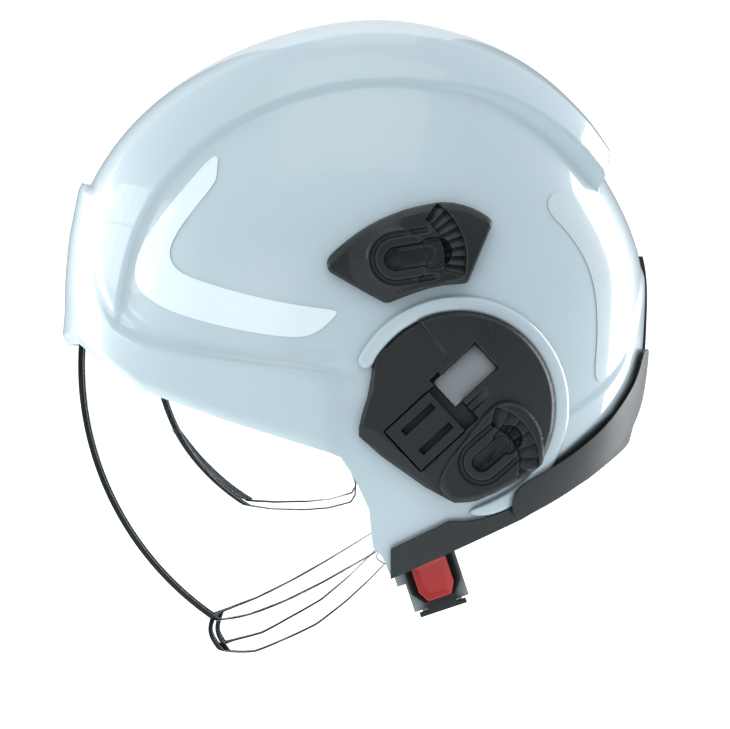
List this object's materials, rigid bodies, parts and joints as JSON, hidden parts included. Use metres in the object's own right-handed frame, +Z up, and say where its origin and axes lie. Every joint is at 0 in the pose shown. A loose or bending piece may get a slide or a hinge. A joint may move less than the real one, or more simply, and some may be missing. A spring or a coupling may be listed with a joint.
{
  "type": "rescue helmet",
  "caption": "Jet style rescue helmet with a raised central crest, ear coverage, lifting clear face shield, inner eye protector, side accessory adapters and a chin strap.",
  "frame": {"origin": "on the face shield's pivot axis, midway between the two pivots", "axes": "+Z up as worn, -Y towards the wearer's front, +X towards the wearer's left"},
  "size_m": [0.2354, 0.2938, 0.3125],
  "materials": {
    "shell_gloss": "gloss",
    "liner_foam": "matte",
    "rim_rubber": "satin",
    "adapter_black": "satin",
    "window_grey": "satin",
    "screw_steel": "satin",
    "reflector": "satin",
    "shield_clear": "gloss",
    "protector_clear": "gloss",
    "nose_rubber": "matte",
    "pivot_black": "satin",
    "harness_black": "matte",
    "webbing": "matte",
    "padding": "matte",
    "buckle_black": "satin",
    "button_red": "gloss",
    "backing_grey": "satin",
    "spring_steel": "satin"
  },
  "bodies": {
    "helmet": {"outer_shell": "shell_gloss", "impact_liner": "liner_foam", "edge_trim": "rim_rubber", "nape_fin": "rim_rubber", "nape_bumper": "rim_rubber", "adapter_base_left": "adapter_black", "adapter_base_right": "adapter_black", "adapter_window_left": "window_grey", "adapter_window_right": "window_grey", "adapter_screws": "screw_steel", "lower_socket_left": "adapter_black", "lower_socket_right": "adapter_black", "lamp_bracket_left": "adapter_black", "lamp_bracket_right": "adapter_black", "lamp_bracket_screws": "screw_steel", "front_reflector_left": "reflector", "front_reflector_right": "reflector", "rear_reflector_left": "reflector", "rear_reflector_right": "reflector", "shield_pivot_pins": "pivot_black", "protector_pivot_pins": "pivot_black", "headband": "harness_black", "headband_sleeve_left": "harness_black", "headband_sleeve_right": "harness_black", "headband_hangers": "harness_black", "brow_pad": "padding", "crown_strap_long": "webbing", "crown_strap_cross": "webbing", "crown_pad": "padding", "front_strap_left": "webbing", "front_strap_right": "webbing", "rear_strap_left": "webbing", "rear_strap_right": "webbing", "strap_divider_left": "harness_black", "strap_divider_right": "harness_black", "strap_anchors": "harness_black", "buckle_housing": "buckle_black", "buckle_spring": "spring_steel", "buckle_backing": "backing_grey", "chin_strap_anchor": "buckle_black"},
    "face_shield": {"face_shield": "shield_clear", "shield_lip": "shield_clear", "shield_hub_left": "pivot_black", "shield_hub_right": "pivot_black"},
    "eye_protector": {"eye_protector": "protector_clear", "nose_pad": "nose_rubber", "protector_arm_left": "pivot_black", "protector_arm_right": "pivot_black", "protector_rivets": "screw_steel"},
    "slide_latch_left": {"slide_latch_left": "adapter_black"},
    "slide_latch_right": {"slide_latch_right": "adapter_black"},
    "rear_cradle": {"rear_cradle": "harness_black", "ratchet_housing": "harness_black", "nape_pad": "padding"},
    "ratchet_knob": {"ratchet_knob": "harness_black", "ratchet_pinion": "harness_black"},
    "buckle_button": {"buckle_button": "button_red"},
    "chin_strap": {"buckle_tongue": "buckle_black", "chin_strap": "webbing", "chin_pad": "padding"}
  },
  "joints": [
    {"name": "face_shield_lift", "type": "hinge", "parent": "helmet", "child": "face_shield", "pos_m": [0, 0, 0], "axis": [-1, 0, 0], "range_deg": [0, 45]},
    {"name": "eye_protector_lift", "type": "hinge", "parent": "helmet", "child": "eye_protector", "pos_m": [0, 0, 0], "axis": [-1, 0, 0], "range_deg": [0, 42]},
    {"name": "slide_latch_left_slide", "type": "slide", "parent": "helmet", "child": "slide_latch_left", "axis": [0, 0.7349, 0.6782], "range_m": [0, 0.008]},
    {"name": "slide_latch_right_slide", "type": "slide", "parent": "helmet", "child": "slide_latch_right", "axis": [0, 0.7349, 0.6782], "range_m": [0, 0.008]},
    {"name": "headband_adjust", "type": "slide", "parent": "helmet", "child": "rear_cradle", "axis": [0, -1, 0], "range_m": [0, 0.01]},
    {"name": "ratchet_turn", "type": "hinge", "parent": "rear_cradle", "child": "ratchet_knob", "pos_m": [0, 0.0902, -0.032], "axis": [0, 1, 0], "range_deg": [0, 120]},
    {"name": "buckle_button_press", "type": "slide", "parent": "helmet", "child": "buckle_button", "axis": [-1, 0, 0], "range_m": [0, 0.0025], "stiffness_N_per_m": 500, "springref_m": -0.001},
    {"name": "chin_strap_release", "type": "hinge", "parent": "helmet", "child": "chin_strap", "pos_m": [-0.0753, 0.02316, -0.10399], "axis": [0, 0.9489, 0.3156], "range_deg": [0, 60]}
  ],
  "couplings": [
    {"joint": "ratchet_turn", "follows": "headband_adjust", "rad_per_m": 209.44}
  ]
}
